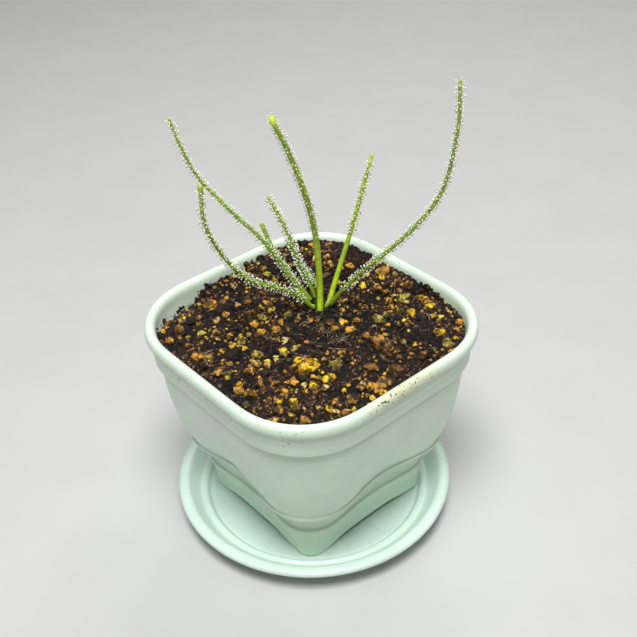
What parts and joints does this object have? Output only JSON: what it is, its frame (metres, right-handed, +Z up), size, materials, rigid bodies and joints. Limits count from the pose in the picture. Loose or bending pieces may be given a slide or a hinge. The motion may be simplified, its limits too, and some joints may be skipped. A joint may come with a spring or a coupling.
{
  "type": "potted sundew",
  "caption": "Potted thread-leaf sundew: slender upright leaves with sticky dew drops, in a rounded square white pot on a round saucer.",
  "frame": {"origin": "centre of the saucer's flat underside, under the middle of the pot", "axes": "+Z up, +X and +Y square to the pot's sides, so that the picture looks at the corner between -X and -Y"},
  "size_m": [0.0792, 0.0792, 0.1239],
  "materials": {
    "saucer_plastic": "satin",
    "pot_plastic": "satin",
    "peat": "matte",
    "crown_green": "satin",
    "leaf_green": "satin"
  },
  "bodies": {
    "root": {"saucer": "saucer_plastic", "pot": "pot_plastic", "soil": "peat", "crown": "crown_green", "leaf_1": "leaf_green", "leaf_2": "leaf_green", "leaf_3": "leaf_green", "leaf_4": "leaf_green", "leaf_5": "leaf_green", "leaf_6": "leaf_green", "leaf_7": "leaf_green", "leaf_8": "leaf_green"}
  },
  "joints": []
}
